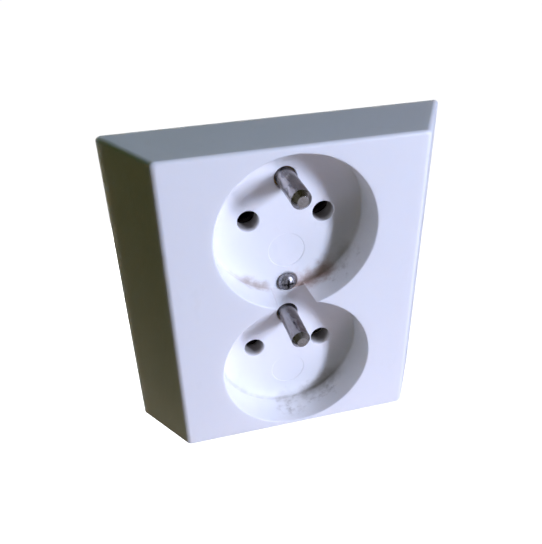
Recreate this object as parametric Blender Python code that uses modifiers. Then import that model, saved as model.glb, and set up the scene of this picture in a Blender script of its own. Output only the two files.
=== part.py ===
"""Double flush socket outlet with earth pins: moulded cover, ceramic base, frame, straps and terminals.

Metres, +Z up. The wall plane is Y = 0. The front faces -Y, and what goes into the wall box is at +Y.
The origin is the middle of the outlet on the wall plane, halfway between the two recesses.
"""

import math

import bmesh
import bpy
from mathutils import Matrix

MM = 0.001
GAP = 0.3 * MM  # between pieces that touch

# Cover
DEPTH = 17.65 * MM
FRONT_HALF_WIDTH = 31.25 * MM
FRONT_TOP = 41.0 * MM
FRONT_BOTTOM = -40.4 * MM
BACK_HALF_WIDTH = 41.55 * MM
BACK_TOP = 41.85 * MM
BACK_BOTTOM = -41.9 * MM
COVER_EDGE_RADIUS = 1.2 * MM
COVER_RIM_RADIUS = 0.9 * MM
WALL = 2.2 * MM
SIDE_WALL = 2.54 * MM  # the slanted side's 2.2 mm wall, measured along X
RIB_THICKNESS = 1.2 * MM

# Recesses
RECESS_SPACING = 38.5 * MM
RECESS_DEPTH = 10.0 * MM
RECESS_MOUTH_RADIUS = 19.87 * MM
RECESS_FLOOR_RADIUS = 19.75 * MM
CUP_WALL = 2.0 * MM
CONTACT_SPACING = 19.0 * MM
CONTACT_RISE = 0.55 * MM  # contact holes above the recess centre
PIN_RISE = 10.55 * MM  # earth pin above the recess centre
CONTACT_HOLE_RADIUS = 2.75 * MM
CONTACT_TUBE_RADIUS = 3.9 * MM
CONTACT_TUBE_LENGTH = 3.0 * MM  # behind the recess floor
PIN_HOLE_RADIUS = 2.85 * MM
PIN_RADIUS = 2.4 * MM
PIN_LENGTH = 14.0 * MM  # from the recess floor
PIN_TIP_RADIUS = 1.3 * MM
PIN_CHAMFER = 1.35 * MM
OVERRUN = 1.0 * MM  # of a cutter past the face that it opens

# Cover screw
SCREW_Z = 1.15 * MM
SCREW_SHANK_RADIUS = 1.5 * MM
SCREW_HEAD_RADIUS = 2.45 * MM
SCREW_HEAD_HEIGHT = 1.9 * MM
SCREW_TIP_Y = 3.0 * MM
SCREW_HOLE_RADIUS = 1.8 * MM
SPOT_FACE_RADIUS = 2.9 * MM
SPOT_FACE_DEPTH = 0.3 * MM
CROSS_HALF_WIDTH = 0.4 * MM
CROSS_HALF_LENGTH = 1.7 * MM
CROSS_DEPTH = 1.2 * MM
RETAINER_RADIUS = 3.4 * MM
RETAINER_HOLE_RADIUS = 1.7 * MM
RETAINER_THICKNESS = 0.8 * MM
BUSH_RADIUS = 3.0 * MM

# Base
BODY_HALF_WIDTH = 20.0 * MM
BODY_HALF_HEIGHT = 25.0 * MM
BODY_CHAMFER = 6.0 * MM
BODY_BACK_Y = 14.0 * MM
FLANGE_HALF_WIDTH = 25.3 * MM
FLANGE_TOP = 34.0 * MM
FLANGE_BOTTOM = -30.0 * MM
FLANGE_CORNER = 2.0 * MM
BARRIER_X = 5.6 * MM
BARRIER_THICKNESS = 1.0 * MM
BARRIER_HALF_HEIGHT = 24.0 * MM
BARRIER_HEIGHT = 5.0 * MM
SLEEVE_BORE_RADIUS = 3.6 * MM
PIN_BORE_RADIUS = 2.8 * MM
PIN_BORE_END_Y = 0.5 * MM

# Frame
FRAME_HALF = 35.5 * MM
FRAME_THICKNESS = 1.2 * MM
FRAME_CORNER = 3.0 * MM
FRAME_RIM_HEIGHT = 2.0 * MM
BOX_SCREW_SPACING = 60.0 * MM
BOX_SLOT_WIDTH = 3.8 * MM
BOX_SLOT_LENGTH = 9.0 * MM
WALL_HOLE_OFFSET = 29.5 * MM
WALL_HOLE_RADIUS = 2.0 * MM
RIVET_X = 18.5 * MM
RIVET_Z = 25.5 * MM
RIVET_RADIUS = 1.2 * MM
RIVET_HEAD_RADIUS = 2.1 * MM
RIVET_HEAD_HEIGHT = 0.8 * MM
RIVET_TAIL_RADIUS = 2.0 * MM
RIVET_TAIL_HEIGHT = 0.7 * MM
FLAT_SHARE = 0.7  # flat middle of a riveted head, as a share of its radius
RIVET_HOLE_RADIUS = 1.5 * MM
RIVET_SINK_RADIUS = 2.5 * MM

# Straps
STRAP_THICKNESS = 1.2 * MM
EARTH_HALF_WIDTH = 4.0 * MM
EARTH_FRONT_Y = -4.2 * MM
EARTH_TOP = 33.3 * MM
EARTH_BEND_Z = -12.5 * MM
EARTH_BOTTOM = -23.0 * MM
EARTH_TERMINAL_Z = -18.3 * MM
EARTH_TAIL_HALF_WIDTH = 3.5 * MM
POLE_X = 10.5 * MM
POLE_HALF_WIDTH = 4.0 * MM
POLE_HALF_LENGTH = 23.0 * MM
STRAP_CORNER = 1.5 * MM

# Contact sleeves
SLEEVE_RADIUS = 3.3 * MM
SLEEVE_INNER_RADIUS = 2.35 * MM
SLEEVE_MOUTH_RADIUS = 2.9 * MM
SLEEVE_MOUTH_DEPTH = 0.5 * MM
SLEEVE_BEVEL = 0.3 * MM
SLEEVE_FRONT_Y = -1.9 * MM
SLEEVE_FLOOR_Y = 12.0 * MM
SLEEVE_SLIT = 0.8 * MM
SLEEVE_SLIT_END_Y = 6.0 * MM
NECK_RADIUS = 1.4 * MM
NECK_HOLE_RADIUS = 1.7 * MM
NECK_HEAD_RADIUS = 2.3 * MM
NECK_HEAD_HEIGHT = 0.9 * MM

# Terminals
CLAMP_HALF_HEIGHT = 4.5 * MM
CLAMP_THICKNESS = 1.5 * MM
CLAMP_CORNER = 0.8 * MM
TERMINAL_SHANK_RADIUS = 1.6 * MM
TERMINAL_HOLE_RADIUS = 1.9 * MM
TERMINAL_HEAD_RADIUS = 3.2 * MM
TERMINAL_HEAD_HEIGHT = 2.0 * MM
TERMINAL_BEVEL = 0.5 * MM
TERMINAL_TIP_Y = 8.0 * MM
TERMINAL_SLOT_WIDTH = 0.9 * MM
TERMINAL_SLOT_DEPTH = 1.1 * MM

# Worked out from the above
FLOOR_Y = RECESS_DEPTH - DEPTH
FLOOR_BACK_Y = FLOOR_Y + CUP_WALL
TUBE_BACK_Y = FLOOR_BACK_Y + CONTACT_TUBE_LENGTH
BUSH_BACK_Y = SCREW_TIP_Y + OVERRUN
BASE_FRONT_Y = FLOOR_BACK_Y + GAP
FLANGE_BACK_Y = -FRAME_THICKNESS - GAP
STRAP_BACK_Y = BODY_BACK_Y + GAP  # front face of the straps behind the base
CLAMP_Y = STRAP_BACK_Y + STRAP_THICKNESS + GAP
HEAD_Y = CLAMP_Y + CLAMP_THICKNESS + GAP
RECESSES = (("upper", RECESS_SPACING / 2), ("lower", -RECESS_SPACING / 2))
POLES = (("line", -1), ("neutral", 1))

WHITE = ((0.80, 0.82, 0.86), 0.35, 0.0)
CERAMIC = ((0.78, 0.74, 0.64), 0.5, 0.0)
BRASS = ((0.72, 0.53, 0.25), 0.35, 1.0)
NICKEL = ((0.56, 0.54, 0.50), 0.35, 1.0)
ZINC = ((0.60, 0.61, 0.63), 0.4, 1.0)
FIBRE = ((0.36, 0.10, 0.06), 0.8, 0.0)


def clear_scene():
    for obj in list(bpy.data.objects):
        bpy.data.objects.remove(obj, do_unlink=True)


def new_collection(name):
    collection = bpy.data.collections.new(name)
    bpy.context.scene.collection.children.link(collection)
    return collection


def finish(obj, look):
    """Gives the object its own Principled material."""
    colour, roughness, metallic = look
    material = bpy.data.materials.new(obj.name)
    material.use_nodes = True
    shader = material.node_tree.nodes["Principled BSDF"]
    shader.inputs["Base Color"].default_value = (*colour, 1.0)
    shader.inputs["Roughness"].default_value = roughness
    shader.inputs["Metallic"].default_value = metallic
    obj.data.materials.append(material)
    return obj


def from_bmesh(name, bm, home, at=(0, 0, 0)):
    mesh = bpy.data.meshes.new(name)
    bmesh.ops.recalc_face_normals(bm, faces=bm.faces)
    bm.to_mesh(mesh)
    bm.free()
    mesh.shade_smooth()
    mesh.set_sharp_from_angle(angle=math.radians(30))
    obj = bpy.data.objects.new(name, mesh)
    obj.location = at
    home.objects.link(obj)
    return obj


def cutter(obj):
    obj.hide_render = True
    obj.display_type = "WIRE"
    return obj


def boolean(obj, other, operation):
    modifier = obj.modifiers.new(f"{operation.lower()} {other.name}", "BOOLEAN")
    modifier.operation = operation
    modifier.object = other
    modifier.solver = "EXACT"


def cut(obj, *others):
    for other in others:
        boolean(obj, other, "DIFFERENCE")


def join(obj, *others):
    for other in others:
        boolean(obj, other, "UNION")


def edges_along_y(bm):
    return [e for e in bm.edges if abs(e.verts[0].co.y - e.verts[1].co.y) > MM / 10]


def block(name, low, high, home, at=(0, 0, 0), corner=0.0, segments=3):
    """A box from corner to corner, measured from at, with its edges along Y rounded."""
    bm = bmesh.new()
    bmesh.ops.create_cube(bm, size=1.0)
    for vert in bm.verts:
        for i in range(3):
            vert.co[i] = high[i] if vert.co[i] > 0 else low[i]
    if corner:
        bmesh.ops.bevel(
            bm, geom=edges_along_y(bm), offset=corner, segments=segments, profile=0.5, affect="EDGES"
        )
    return from_bmesh(name, bm, home, at)


def rod(name, radius, y_low, y_high, x, z, home, sides=24, back_radius=None):
    """A round bar along Y, which may taper from radius at y_low to back_radius at y_high."""
    bm = bmesh.new()
    bmesh.ops.create_cone(
        bm,
        cap_ends=True,
        segments=sides,
        radius1=radius,
        radius2=radius if back_radius is None else back_radius,
        depth=y_high - y_low,
    )
    bmesh.ops.rotate(bm, verts=bm.verts, matrix=Matrix.Rotation(-math.pi / 2, 3, "X"))
    return from_bmesh(name, bm, home, (x, (y_low + y_high) / 2, z))


def turned(name, profile, at, home, faces_back=False, sides=24):
    """A profile of (radius, height) turned round an axis along Y. Height runs to the front or back."""
    mesh = bpy.data.meshes.new(name)
    points = [(radius, 0.0, height) for radius, height in profile]
    mesh.from_pydata(points, [(i, i + 1) for i in range(len(points) - 1)], [])
    obj = bpy.data.objects.new(name, mesh)
    obj.location = at
    obj.rotation_euler = (-math.pi / 2 if faces_back else math.pi / 2, 0.0, 0.0)
    home.objects.link(obj)
    screw = obj.modifiers.new("turn", "SCREW")
    screw.axis = "Z"
    screw.steps = sides
    screw.render_steps = sides
    screw.use_merge_vertices = True
    screw.merge_threshold = 0.00001
    screw.use_smooth_shade = True
    return obj


def tapered_block(name, front, back, home, edge_radius=0.0, rim_radius=0.0):
    """A block between two rectangles, each given as half width, top, bottom and y."""
    bm = bmesh.new()
    bmesh.ops.create_cube(bm, size=2.0)
    for vert in bm.verts:
        half_width, top, bottom, y = front if vert.co.y < 0 else back
        vert.co = (math.copysign(half_width, vert.co.x), y, top if vert.co.z > 0 else bottom)
    if edge_radius:
        bmesh.ops.bevel(
            bm, geom=edges_along_y(bm), offset=edge_radius, segments=4, profile=0.5, affect="EDGES"
        )
    if rim_radius:
        rim = [e for e in bm.edges if all(v.co.y < front[3] + MM / 10 for v in e.verts)]
        bmesh.ops.bevel(bm, geom=rim, offset=rim_radius, segments=3, profile=0.5, affect="EDGES")
    return from_bmesh(name, bm, home)


def inside_half_width(y):
    """Half the width between the cover's slanted walls at a depth y."""
    share = (y + DEPTH) / DEPTH
    return FRONT_HALF_WIDTH + (BACK_HALF_WIDTH - FRONT_HALF_WIDTH) * share - SIDE_WALL


def contact_places():
    """Recess, pole and place of each contact hole."""
    side = CONTACT_SPACING / 2
    return [(w, p, s * side, z + CONTACT_RISE) for w, z in RECESSES for p, s in POLES]


def cover_hollow(tools):
    """The space behind the cover's skin, less the cups, the contact tubes and the rib that stand in it."""
    front_y = WALL - DEPTH
    back_y = OVERRUN
    hollow = tapered_block(
        "hollow",
        (inside_half_width(front_y), FRONT_TOP - WALL, FRONT_BOTTOM + WALL, front_y),
        (inside_half_width(back_y), BACK_TOP - WALL, BACK_BOTTOM + WALL, back_y),
        tools,
    )
    for where, z in RECESSES:
        radius = RECESS_FLOOR_RADIUS + CUP_WALL
        cup = rod(f"cup_{where}", radius, -DEPTH - OVERRUN, FLOOR_BACK_Y, 0, z, tools, 72)
        cut(hollow, cutter(cup))
    for where, pole, x, z in contact_places():
        tube = rod(f"tube_{where}_{pole}", CONTACT_TUBE_RADIUS, FLOOR_Y, TUBE_BACK_Y, x, z, tools)
        cut(hollow, cutter(tube))
    rib = block(
        "rib",
        (-BACK_HALF_WIDTH, -DEPTH - OVERRUN, SCREW_Z - RIB_THICKNESS / 2),
        (BACK_HALF_WIDTH, FLOOR_BACK_Y - RIB_THICKNESS, SCREW_Z + RIB_THICKNESS / 2),
        tools,
    )
    cut(hollow, cutter(rib))
    return cutter(hollow)


def cover(parts, tools):
    body = tapered_block(
        "cover",
        (FRONT_HALF_WIDTH, FRONT_TOP, FRONT_BOTTOM, -DEPTH),
        (BACK_HALF_WIDTH, BACK_TOP, BACK_BOTTOM, 0.0),
        parts,
        COVER_EDGE_RADIUS,
        COVER_RIM_RADIUS,
    )
    cut(body, cover_hollow(tools))
    floor = (FLOOR_Y - OVERRUN, FLOOR_BACK_Y + OVERRUN)
    for where, z in RECESSES:
        recess = rod(
            f"recess_{where}",
            RECESS_MOUTH_RADIUS,
            -DEPTH - OVERRUN / 10,
            FLOOR_Y,
            0,
            z,
            tools,
            72,
            RECESS_FLOOR_RADIUS,
        )
        cut(body, cutter(recess))
        hole = rod(f"pin_hole_{where}", PIN_HOLE_RADIUS, *floor, 0, z + PIN_RISE, tools)
        cut(body, cutter(hole))
    for where, pole, x, z in contact_places():
        reach = (floor[0], TUBE_BACK_Y + OVERRUN)
        cut(body, cutter(rod(f"contact_hole_{where}_{pole}", CONTACT_HOLE_RADIUS, *reach, x, z, tools)))
    cut(body, cutter(rod("screw_hole", SCREW_HOLE_RADIUS, *floor, 0, SCREW_Z, tools)))
    spot = rod("spot", SPOT_FACE_RADIUS, floor[0], FLOOR_Y + SPOT_FACE_DEPTH, 0, SCREW_Z, tools)
    cut(body, cutter(spot))
    return finish(body, WHITE)


def cover_screw(parts, tools):
    """Domed head with a cross recess, on a plain shank where the thread is."""
    dome = [
        (SCREW_HEAD_RADIUS * math.sin(math.radians(a)), SCREW_HEAD_HEIGHT * math.cos(math.radians(a)))
        for a in (0, 22, 45, 65, 82)
    ]
    tip = FLOOR_Y - SCREW_TIP_Y
    shank = [(SCREW_HEAD_RADIUS, 0), (SCREW_SHANK_RADIUS, 0), (SCREW_SHANK_RADIUS, tip), (0, tip - MM / 2)]
    at = (0, FLOOR_Y, SCREW_Z)
    screw = turned("cover_screw", dome + shank, at, parts)
    low_y = -SCREW_HEAD_HEIGHT - OVERRUN
    high_y = CROSS_DEPTH - SCREW_HEAD_HEIGHT
    arm = (CROSS_HALF_LENGTH, CROSS_HALF_WIDTH)
    for name, x, z in (("cross_x", *arm), ("cross_z", *reversed(arm))):
        cut(screw, cutter(block(name, (-x, low_y, -z), (x, high_y, z), tools, at)))
    return finish(screw, ZINC)


def screw_retainer(parts, tools):
    """Washer on the screw's shank that keeps the screw in the cover."""
    front_y = FLOOR_BACK_Y + GAP
    back_y = front_y + RETAINER_THICKNESS
    washer = rod("screw_retainer", RETAINER_RADIUS, front_y, back_y, 0, SCREW_Z, parts)
    reach = (front_y - OVERRUN, back_y + OVERRUN)
    cut(washer, cutter(rod("retainer_hole", RETAINER_HOLE_RADIUS, *reach, 0, SCREW_Z, tools)))
    return finish(washer, FIBRE)


def screw_bush(parts, tools):
    """Bush in the base that takes the cover screw's thread."""
    front_y = EARTH_FRONT_Y + STRAP_THICKNESS + 2 * GAP
    bush = rod("screw_bush", BUSH_RADIUS, front_y, BUSH_BACK_Y, 0, SCREW_Z, parts)
    reach = (front_y - OVERRUN, BUSH_BACK_Y + OVERRUN)
    cut(bush, cutter(rod("bush_hole", SCREW_HOLE_RADIUS, *reach, 0, SCREW_Z, tools)))
    return finish(bush, BRASS)


def rivet_places():
    return [(x, z) for x in (-RIVET_X, RIVET_X) for z in (-RIVET_Z, RIVET_Z)]


def base_flange(parts):
    return block(
        "socket_base",
        (-FLANGE_HALF_WIDTH, BASE_FRONT_Y, FLANGE_BOTTOM),
        (FLANGE_HALF_WIDTH, FLANGE_BACK_Y, FLANGE_TOP),
        parts,
        corner=FLANGE_CORNER,
        segments=2,
    )


def base_body(tools):
    """The block that goes through the frame into the wall box, with barriers between the terminals."""
    body = block(
        "base_body",
        (-BODY_HALF_WIDTH, FLANGE_BACK_Y - OVERRUN, -BODY_HALF_HEIGHT),
        (BODY_HALF_WIDTH, BODY_BACK_Y, BODY_HALF_HEIGHT),
        tools,
        corner=BODY_CHAMFER,
        segments=1,
    )
    for name, x in (("barrier_left", -BARRIER_X), ("barrier_right", BARRIER_X)):
        barrier = block(
            name,
            (x - BARRIER_THICKNESS / 2, BODY_BACK_Y - OVERRUN, -BARRIER_HALF_HEIGHT),
            (x + BARRIER_THICKNESS / 2, BODY_BACK_Y + BARRIER_HEIGHT, BARRIER_HALF_HEIGHT),
            tools,
        )
        join(body, cutter(barrier))
    return cutter(body)


def base_grooves(tools):
    """The open channel for the earth strap, and the slot where it turns to the back."""
    side = EARTH_HALF_WIDTH + GAP
    channel = block(
        "channel",
        (-side, BASE_FRONT_Y - OVERRUN, EARTH_BEND_Z - STRAP_THICKNESS - GAP),
        (side, EARTH_FRONT_Y + STRAP_THICKNESS + GAP, FLANGE_TOP + OVERRUN),
        tools,
    )
    slot = block(
        "slot",
        (-side, BASE_FRONT_Y - OVERRUN, EARTH_BEND_Z - STRAP_THICKNESS - GAP),
        (side, BODY_BACK_Y + OVERRUN, EARTH_BEND_Z + GAP),
        tools,
    )
    return cutter(channel), cutter(slot)


def base_bores(tools):
    """The bores for the contacts, the pins' riveted ends, the bush, the rivets and the terminal screws."""
    front = BASE_FRONT_Y - OVERRUN
    through = BODY_BACK_Y + OVERRUN / 10
    bores = [rod("bush_bore", BUSH_RADIUS + GAP, front, BUSH_BACK_Y + GAP, 0, SCREW_Z, tools)]
    for where, z in RECESSES:
        pin_bore = rod(f"pin_bore_{where}", PIN_BORE_RADIUS, front, PIN_BORE_END_Y, 0, z + PIN_RISE, tools)
        bores.append(pin_bore)
    for where, pole, x, z in contact_places():
        radius = CONTACT_TUBE_RADIUS + GAP
        bores.append(rod(f"tube_bore_{where}_{pole}", radius, front, TUBE_BACK_Y + GAP, x, z, tools))
        bores.append(rod(f"sleeve_bore_{where}_{pole}", SLEEVE_BORE_RADIUS, front, through, x, z, tools))
    for number, (x, z) in enumerate(rivet_places(), 1):
        sunk = BASE_FRONT_Y + 2 * GAP + RIVET_HEAD_HEIGHT
        bores.append(rod(f"rivet_sink_{number}", RIVET_SINK_RADIUS, front, sunk, x, z, tools))
        bores.append(rod(f"rivet_bore_{number}", RIVET_HOLE_RADIUS, front, OVERRUN, x, z, tools))
    for name, x, z in terminals():
        depth = TERMINAL_TIP_Y - OVERRUN
        bores.append(rod(f"tip_bore_{name}", TERMINAL_HOLE_RADIUS, depth, through, x, z, tools))
    return [cutter(bore) for bore in bores]


def socket_base(parts, tools):
    base = base_flange(parts)
    join(base, base_body(tools))
    cut(base, *base_grooves(tools), *base_bores(tools))
    return finish(base, CERAMIC)


def mounting_frame(parts, tools):
    """Pressed steel plate on the wall, its top and bottom edges bent forward."""
    plate = block(
        "mounting_frame",
        (-FRAME_HALF, -FRAME_THICKNESS, -FRAME_HALF),
        (FRAME_HALF, 0.0, FRAME_HALF),
        parts,
        corner=FRAME_CORNER,
    )
    for name, side in (("top_rim", 1), ("bottom_rim", -1)):
        inner = side * (FRAME_HALF - FRAME_THICKNESS)
        outer = side * FRAME_HALF
        rim = block(
            name,
            (FRAME_CORNER - FRAME_HALF, -FRAME_THICKNESS - FRAME_RIM_HEIGHT, min(inner, outer)),
            (FRAME_HALF - FRAME_CORNER, -FRAME_THICKNESS / 2, max(inner, outer)),
            tools,
        )
        join(plate, cutter(rim))
    window = block(
        "window",
        (-BODY_HALF_WIDTH - GAP, -FRAME_THICKNESS - OVERRUN, -BODY_HALF_HEIGHT - GAP),
        (BODY_HALF_WIDTH + GAP, OVERRUN, BODY_HALF_HEIGHT + GAP),
        tools,
        corner=BODY_CHAMFER,
        segments=1,
    )
    cut(plate, cutter(window))
    through = (-FRAME_THICKNESS - OVERRUN, OVERRUN)
    for name, side in (("box_slot_left", -1), ("box_slot_right", 1)):
        x = side * BOX_SCREW_SPACING / 2
        slot = block(
            name,
            (x - BOX_SLOT_WIDTH / 2, through[0], -BOX_SLOT_LENGTH / 2),
            (x + BOX_SLOT_WIDTH / 2, through[1], BOX_SLOT_LENGTH / 2),
            tools,
            corner=BOX_SLOT_WIDTH / 2.05,
            segments=4,
        )
        cut(plate, cutter(slot))
    for number, (x, z) in enumerate(rivet_places(), 1):
        cut(plate, cutter(rod(f"plate_hole_{number}", RIVET_HOLE_RADIUS, *through, x, z, tools, 16)))
        x = math.copysign(WALL_HOLE_OFFSET, x)
        z = math.copysign(WALL_HOLE_OFFSET, z)
        cut(plate, cutter(rod(f"wall_hole_{number}", WALL_HOLE_RADIUS, *through, x, z, tools, 16)))
    return finish(plate, ZINC)


def frame_rivet(number, x, z, parts):
    """Head sunk in the flange, shank through flange and frame, and a flat head behind the frame."""
    front_y = BASE_FRONT_Y + GAP
    head = -front_y - RIVET_HEAD_HEIGHT
    profile = [
        (0, -front_y),
        (RIVET_HEAD_RADIUS * FLAT_SHARE, -front_y),
        (RIVET_HEAD_RADIUS, -front_y - RIVET_HEAD_HEIGHT / 2),
        (RIVET_HEAD_RADIUS, head),
        (RIVET_RADIUS, head),
        (RIVET_RADIUS, -GAP),
        (RIVET_TAIL_RADIUS, -GAP),
        (RIVET_TAIL_RADIUS, -GAP - RIVET_TAIL_HEIGHT / 2),
        (RIVET_TAIL_RADIUS * FLAT_SHARE, -GAP - RIVET_TAIL_HEIGHT),
        (0, -GAP - RIVET_TAIL_HEIGHT),
    ]
    return finish(turned(f"frame_rivet_{number}", profile, (x, 0, z), parts, sides=16), ZINC)


def earth_bar(parts, tools):
    """Front run that joins the pins, a bend through the base, and a tail with the earth terminal."""
    bend_low = EARTH_BEND_Z - STRAP_THICKNESS
    back_y = STRAP_BACK_Y + STRAP_THICKNESS
    bar = block(
        "earth_bar",
        (-EARTH_HALF_WIDTH, EARTH_FRONT_Y, bend_low),
        (EARTH_HALF_WIDTH, EARTH_FRONT_Y + STRAP_THICKNESS, EARTH_TOP),
        parts,
    )
    leg = block(
        "earth_leg",
        (-EARTH_TAIL_HALF_WIDTH, EARTH_FRONT_Y + STRAP_THICKNESS / 2, bend_low),
        (EARTH_TAIL_HALF_WIDTH, back_y, EARTH_BEND_Z),
        tools,
    )
    tail = block(
        "earth_tail",
        (-EARTH_TAIL_HALF_WIDTH, STRAP_BACK_Y, EARTH_BOTTOM),
        (EARTH_TAIL_HALF_WIDTH, back_y, bend_low + STRAP_THICKNESS / 2),
        tools,
    )
    join(bar, cutter(leg), cutter(tail))
    front = (EARTH_FRONT_Y - OVERRUN, EARTH_FRONT_Y + STRAP_THICKNESS + OVERRUN)
    for where, z in RECESSES:
        cut(bar, cutter(rod(f"neck_hole_{where}", NECK_HOLE_RADIUS, *front, 0, z + PIN_RISE, tools)))
    cut(bar, cutter(rod("bar_screw_hole", SCREW_HOLE_RADIUS, *front, 0, SCREW_Z, tools)))
    back = (STRAP_BACK_Y - OVERRUN, back_y + OVERRUN)
    hole = rod("earth_tip_hole", TERMINAL_HOLE_RADIUS, *back, 0, EARTH_TERMINAL_Z, tools)
    cut(bar, cutter(hole))
    return finish(bar, BRASS)


def pole_bar(pole, side, parts, tools):
    """Strap behind the base that joins the two contacts of one pole."""
    bar = block(
        f"{pole}_bar",
        (side * POLE_X - POLE_HALF_WIDTH, STRAP_BACK_Y, CONTACT_RISE - POLE_HALF_LENGTH),
        (side * POLE_X + POLE_HALF_WIDTH, STRAP_BACK_Y + STRAP_THICKNESS, CONTACT_RISE + POLE_HALF_LENGTH),
        parts,
        corner=STRAP_CORNER,
    )
    back = (STRAP_BACK_Y - OVERRUN, STRAP_BACK_Y + STRAP_THICKNESS + OVERRUN)
    for where, z in RECESSES:
        x = side * CONTACT_SPACING / 2
        name = f"{pole}_neck_hole_{where}"
        cut(bar, cutter(rod(name, NECK_HOLE_RADIUS, *back, x, z + CONTACT_RISE, tools)))
    x = side * POLE_X
    cut(bar, cutter(rod(f"{pole}_tip_hole", TERMINAL_HOLE_RADIUS, *back, x, CONTACT_RISE, tools)))
    return finish(bar, BRASS)


def earth_pin(where, z, parts):
    """Pin with a chamfered tip, a neck through the earth strap and a riveted end behind it."""
    strap_front = FLOOR_Y - EARTH_FRONT_Y
    strap_back = strap_front - STRAP_THICKNESS
    profile = [
        (0, PIN_LENGTH),
        (PIN_TIP_RADIUS, PIN_LENGTH),
        (PIN_RADIUS, PIN_LENGTH - PIN_CHAMFER),
        (PIN_RADIUS, strap_front + GAP),
        (NECK_RADIUS, strap_front + GAP),
        (NECK_RADIUS, strap_back - GAP),
        (NECK_HEAD_RADIUS, strap_back - GAP),
        (NECK_HEAD_RADIUS, strap_back - GAP - NECK_HEAD_HEIGHT / 2),
        (NECK_HEAD_RADIUS * FLAT_SHARE, strap_back - GAP - NECK_HEAD_HEIGHT),
        (0, strap_back - GAP - NECK_HEAD_HEIGHT),
    ]
    pin = turned(f"earth_pin_{where}", profile, (0, FLOOR_Y, z + PIN_RISE), parts, sides=32)
    return finish(pin, NICKEL)


def contact_sleeve(where, pole, x, z, parts, tools):
    """Split sleeve, open to the front, with a neck through its strap and a riveted end behind it."""
    strap_back = STRAP_BACK_Y + STRAP_THICKNESS
    profile = [
        (0, -SLEEVE_FLOOR_Y),
        (SLEEVE_INNER_RADIUS, -SLEEVE_FLOOR_Y),
        (SLEEVE_INNER_RADIUS, -SLEEVE_FRONT_Y - SLEEVE_MOUTH_DEPTH),
        (SLEEVE_MOUTH_RADIUS, -SLEEVE_FRONT_Y),
        (SLEEVE_RADIUS, -SLEEVE_FRONT_Y - SLEEVE_BEVEL),
        (SLEEVE_RADIUS, -BODY_BACK_Y),
        (NECK_RADIUS, -BODY_BACK_Y),
        (NECK_RADIUS, -strap_back - GAP),
        (NECK_HEAD_RADIUS, -strap_back - GAP),
        (NECK_HEAD_RADIUS, -strap_back - GAP - NECK_HEAD_HEIGHT / 2),
        (NECK_HEAD_RADIUS * FLAT_SHARE, -strap_back - GAP - NECK_HEAD_HEIGHT),
        (0, -strap_back - GAP - NECK_HEAD_HEIGHT),
    ]
    sleeve = turned(f"contact_sleeve_{where}_{pole}", profile, (x, 0, z), parts)
    slit = block(
        f"slit_{where}_{pole}",
        (x - SLEEVE_RADIUS - OVERRUN, SLEEVE_FRONT_Y - OVERRUN, z - SLEEVE_SLIT / 2),
        (x + SLEEVE_RADIUS + OVERRUN, SLEEVE_SLIT_END_Y, z + SLEEVE_SLIT / 2),
        tools,
    )
    cut(sleeve, cutter(slit))
    return finish(sleeve, BRASS)


def terminals():
    """Name and place of each terminal."""
    return (
        ("line", -POLE_X, CONTACT_RISE),
        ("neutral", POLE_X, CONTACT_RISE),
        ("earth", 0.0, EARTH_TERMINAL_Z),
    )


def terminal_clamp(name, x, z, parts, tools):
    half_width = EARTH_TAIL_HALF_WIDTH if name == "earth" else POLE_HALF_WIDTH
    at = (x, CLAMP_Y, z)
    plate = block(
        f"{name}_clamp",
        (-half_width, 0.0, -CLAMP_HALF_HEIGHT),
        (half_width, CLAMP_THICKNESS, CLAMP_HALF_HEIGHT),
        parts,
        at,
        corner=CLAMP_CORNER,
        segments=2,
    )
    hole = rod(f"{name}_clamp_hole", TERMINAL_HOLE_RADIUS, CLAMP_Y - OVERRUN, HEAD_Y + OVERRUN, x, z, tools)
    cut(plate, cutter(hole))
    return finish(plate, BRASS)


def terminal_screw(name, x, z, parts, tools):
    """Cheese-head screw with a slot, driven from behind."""
    head = TERMINAL_HEAD_HEIGHT
    tip = TERMINAL_TIP_Y - HEAD_Y
    profile = [
        (0, head),
        (TERMINAL_HEAD_RADIUS - TERMINAL_BEVEL, head),
        (TERMINAL_HEAD_RADIUS, head - TERMINAL_BEVEL),
        (TERMINAL_HEAD_RADIUS, 0),
        (TERMINAL_SHANK_RADIUS, 0),
        (TERMINAL_SHANK_RADIUS, tip + MM / 2),
        (TERMINAL_SHANK_RADIUS / 2, tip),
        (0, tip),
    ]
    at = (x, HEAD_Y, z)
    screw = turned(f"{name}_terminal_screw", profile, at, parts, faces_back=True)
    half = TERMINAL_SLOT_WIDTH / 2
    reach = TERMINAL_HEAD_RADIUS + OVERRUN
    slot = block(
        f"{name}_screw_slot",
        (-reach, head - TERMINAL_SLOT_DEPTH, -half),
        (reach, head + OVERRUN, half),
        tools,
        at,
    )
    cut(screw, cutter(slot))
    return finish(screw, ZINC)


def build():
    clear_scene()
    parts = new_collection("double_socket_outlet")
    tools = new_collection("cutters")
    cover(parts, tools)
    cover_screw(parts, tools)
    screw_retainer(parts, tools)
    screw_bush(parts, tools)
    socket_base(parts, tools)
    mounting_frame(parts, tools)
    for number, (x, z) in enumerate(rivet_places(), 1):
        frame_rivet(number, x, z, parts)
    earth_bar(parts, tools)
    for pole, side in POLES:
        pole_bar(pole, side, parts, tools)
    for where, pole, x, z in contact_places():
        contact_sleeve(where, pole, x, z, parts, tools)
    for where, z in RECESSES:
        earth_pin(where, z, parts)
    for name, x, z in terminals():
        terminal_clamp(name, x, z, parts, tools)
        terminal_screw(name, x, z, parts, tools)


build()
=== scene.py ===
"""Looks of the double flush socket outlet: a worn white cover, nickel pins and the works behind it.

Metres, +Z up, in the CAD model's frame: the wall plane is Y = 0 and the front faces -Y.
"""

import math

import bmesh
import bpy
from mathutils import Matrix, Vector


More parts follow.
